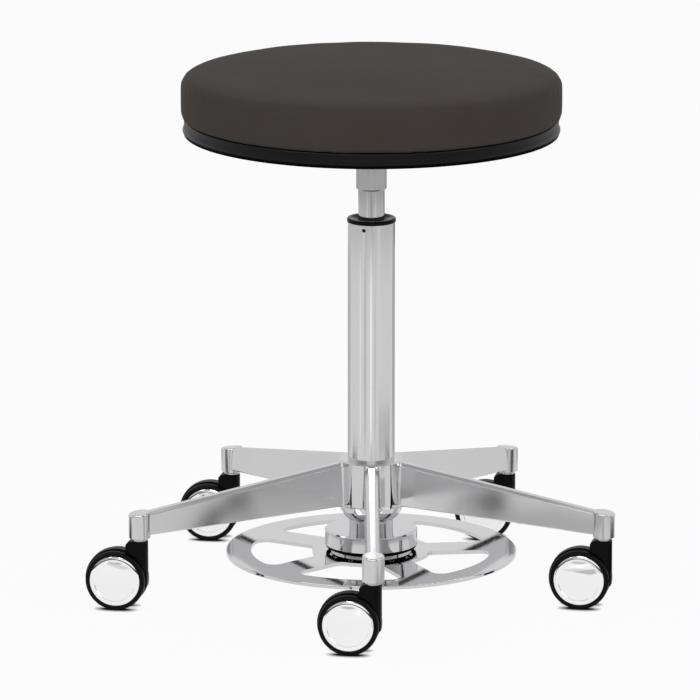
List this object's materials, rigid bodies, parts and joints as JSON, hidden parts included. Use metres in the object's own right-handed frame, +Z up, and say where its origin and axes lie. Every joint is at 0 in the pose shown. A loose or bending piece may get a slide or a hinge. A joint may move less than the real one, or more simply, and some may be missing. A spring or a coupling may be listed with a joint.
{
  "type": "swivel stool",
  "caption": "Round upholstered swivel stool on a polished star base with castors; a gas spring column is released by a flat foot ring under the hub.",
  "frame": {"origin": "on the floor, under the column axis", "axes": "+Z up along the column, -Y towards the front arm, +X to the right seen from the front"},
  "size_m": [0.5594, 0.5055, 0.5656],
  "materials": {
    "upholstery": "smooth dark grey-brown synthetic leather, matt",
    "foam": "open-cell foam",
    "plywood": "black stained birch plywood",
    "black_trim": "satin black moulded edge",
    "black_steel": "black powder coat",
    "zinc_steel": "satin zinc plate",
    "steel": "bright zinc plate",
    "cylinder_chrome": "ground hard chrome",
    "tube_chrome": "bright chrome plate",
    "cap_chrome": "bright chrome plate",
    "polished_aluminium": "polished die casting",
    "polished_ring": "mirror polished plate",
    "bush_plastic": "black acetal, turned",
    "rubber": "matt black rubber",
    "castor_plastic": "black moulded polyamide",
    "castor_tyre": "black polyurethane tread"
  },
  "bodies": {
    "base": {"star_base": "polished_aluminium", "stand_tube": "tube_chrome", "guide_bush": "bush_plastic", "bearing_lower_race": "steel", "release_collar": "polished_aluminium", "collar_grub_screws": "steel", "shoulder_screws": "steel", "rubber_ring": "rubber", "castor_stems": "steel", "castor_grip_rings": "steel"},
    "gas_rod": {"piston_rod": "cylinder_chrome", "piston": "bush_plastic", "rod_clip": "steel", "bearing_upper_race": "steel", "bump_stop": "rubber"},
    "bearing_cage": {"bearing_cage": "bush_plastic", "bearing_balls": "steel"},
    "seat": {"upholstery_cover": "upholstery", "foam_pad": "foam", "seat_board": "plywood", "edge_trim": "black_trim", "seat_plate": "black_steel", "seat_socket": "zinc_steel", "seat_screws": "steel", "tee_nuts": "steel", "gas_cylinder": "cylinder_chrome", "rod_guide": "bush_plastic"},
    "foot_ring": {"foot_ring": "polished_ring", "thrust_button": "bush_plastic"},
    "release_pin": {"release_pin": "steel"},
    "front_castor": {"front_castor_hood": "castor_plastic", "front_castor_axle": "steel"},
    "front_castor_wheel_a_body": {"front_castor_wheel_a": "castor_tyre", "front_castor_cap_a": "cap_chrome"},
    "front_castor_wheel_b_body": {"front_castor_wheel_b": "castor_tyre", "front_castor_cap_b": "cap_chrome"},
    "right_castor": {"right_castor_hood": "castor_plastic", "right_castor_axle": "steel"},
    "right_castor_wheel_a_body": {"right_castor_wheel_a": "castor_tyre", "right_castor_cap_a": "cap_chrome"},
    "right_castor_wheel_b_body": {"right_castor_wheel_b": "castor_tyre", "right_castor_cap_b": "cap_chrome"},
    "rear_right_castor": {"rear_right_castor_hood": "castor_plastic", "rear_right_castor_axle": "steel"},
    "rear_right_castor_wheel_a_body": {"rear_right_castor_wheel_a": "castor_tyre", "rear_right_castor_cap_a": "cap_chrome"},
    "rear_right_castor_wheel_b_body": {"rear_right_castor_wheel_b": "castor_tyre", "rear_right_castor_cap_b": "cap_chrome"},
    "rear_left_castor": {"rear_left_castor_hood": "castor_plastic", "rear_left_castor_axle": "steel"},
    "rear_left_castor_wheel_a_body": {"rear_left_castor_wheel_a": "castor_tyre", "rear_left_castor_cap_a": "cap_chrome"},
    "rear_left_castor_wheel_b_body": {"rear_left_castor_wheel_b": "castor_tyre", "rear_left_castor_cap_b": "cap_chrome"},
    "left_castor": {"left_castor_hood": "castor_plastic", "left_castor_axle": "steel"},
    "left_castor_wheel_a_body": {"left_castor_wheel_a": "castor_tyre", "left_castor_cap_a": "cap_chrome"},
    "left_castor_wheel_b_body": {"left_castor_wheel_b": "castor_tyre", "left_castor_cap_b": "cap_chrome"}
  },
  "joints": [
    {"name": "seat_swivel", "type": "hinge", "parent": "base", "child": "gas_rod", "pos_m": [0, 0, 0.06], "axis": [0, 0, 1], "continuous": true},
    {"name": "seat_lift", "type": "slide", "parent": "gas_rod", "child": "seat", "axis": [0, 0, 1], "range_m": [-0.027, 0.2]},
    {"name": "bearing_cage_turn", "type": "hinge", "parent": "base", "child": "bearing_cage", "pos_m": [0, 0, 0.06], "axis": [0, 0, 1], "continuous": true},
    {"name": "foot_ring_tilt", "type": "hinge", "parent": "base", "child": "foot_ring", "pos_m": [0, -0.03513, 0.0395], "axis": [1, 0, 0], "range_deg": [0, 2.2]},
    {"name": "release_pin_slide", "type": "slide", "parent": "gas_rod", "child": "release_pin", "axis": [0, 0, 1], "range_m": [0, 0.0014]},
    {"name": "front_castor_swivel", "type": "hinge", "parent": "base", "child": "front_castor", "pos_m": [0.00135, -0.2576, 0.0745], "axis": [0, 0, 1], "continuous": true},
    {"name": "front_castor_wheel_a_roll", "type": "hinge", "parent": "front_castor", "child": "front_castor_wheel_a_body", "pos_m": [-0.02291, -0.25419, 0.0318], "axis": [0.1392, 0.9903, 0], "continuous": true},
    {"name": "front_castor_wheel_b_roll", "type": "hinge", "parent": "front_castor", "child": "front_castor_wheel_b_body", "pos_m": [-0.02291, -0.25419, 0.0318], "axis": [0.1392, 0.9903, 0], "continuous": true},
    {"name": "right_castor_swivel", "type": "hinge", "parent": "base", "child": "right_castor", "pos_m": [0.24541, -0.07832, 0.0745], "axis": [0, 0, 1], "continuous": true},
    {"name": "right_castor_wheel_a_roll", "type": "hinge", "parent": "right_castor", "child": "right_castor_wheel_a_body", "pos_m": [0.22128, -0.07407, 0.0318], "axis": [0.1736, 0.9848, 0], "continuous": true},
    {"name": "right_castor_wheel_b_roll", "type": "hinge", "parent": "right_castor", "child": "right_castor_wheel_b_body", "pos_m": [0.22128, -0.07407, 0.0318], "axis": [0.1736, 0.9848, 0], "continuous": true},
    {"name": "rear_right_castor_swivel", "type": "hinge", "parent": "base", "child": "rear_right_castor", "pos_m": [0.15032, 0.20919, 0.0745], "axis": [0, 0, 1], "continuous": true},
    {"name": "rear_right_castor_wheel_a_roll", "type": "hinge", "parent": "rear_right_castor", "child": "rear_right_castor_wheel_a_body", "pos_m": [0.12612, 0.21302, 0.0318], "axis": [0.1564, 0.9877, 0], "continuous": true},
    {"name": "rear_right_castor_wheel_b_roll", "type": "hinge", "parent": "rear_right_castor", "child": "rear_right_castor_wheel_b_body", "pos_m": [0.12612, 0.21302, 0.0318], "axis": [0.1564, 0.9877, 0], "continuous": true},
    {"name": "rear_left_castor_swivel", "type": "hinge", "parent": "base", "child": "rear_left_castor", "pos_m": [-0.1525, 0.20761, 0.0745], "axis": [0, 0, 1], "continuous": true},
    {"name": "rear_left_castor_wheel_a_roll", "type": "hinge", "parent": "rear_left_castor", "child": "rear_left_castor_wheel_a_body", "pos_m": [-0.1767, 0.21144, 0.0318], "axis": [0.1564, 0.9877, 0], "continuous": true},
    {"name": "rear_left_castor_wheel_b_roll", "type": "hinge", "parent": "rear_left_castor", "child": "rear_left_castor_wheel_b_body", "pos_m": [-0.1767, 0.21144, 0.0318], "axis": [0.1564, 0.9877, 0], "continuous": true},
    {"name": "left_castor_swivel", "type": "hinge", "parent": "base", "child": "left_castor", "pos_m": [-0.24457, -0.08088, 0.0745], "axis": [0, 0, 1], "continuous": true},
    {"name": "left_castor_wheel_a_roll", "type": "hinge", "parent": "left_castor", "child": "left_castor_wheel_a_body", "pos_m": [-0.2687, -0.07663, 0.0318], "axis": [0.1736, 0.9848, 0], "continuous": true},
    {"name": "left_castor_wheel_b_roll", "type": "hinge", "parent": "left_castor", "child": "left_castor_wheel_b_body", "pos_m": [-0.2687, -0.07663, 0.0318], "axis": [0.1736, 0.9848, 0], "continuous": true}
  ],
  "couplings": [
    {"joint": "bearing_cage_turn", "follows": "seat_swivel", "ratio": 0.5},
    {"joint": "release_pin_slide", "follows": "foot_ring_tilt", "m_per_rad": 0.03512}
  ]
}
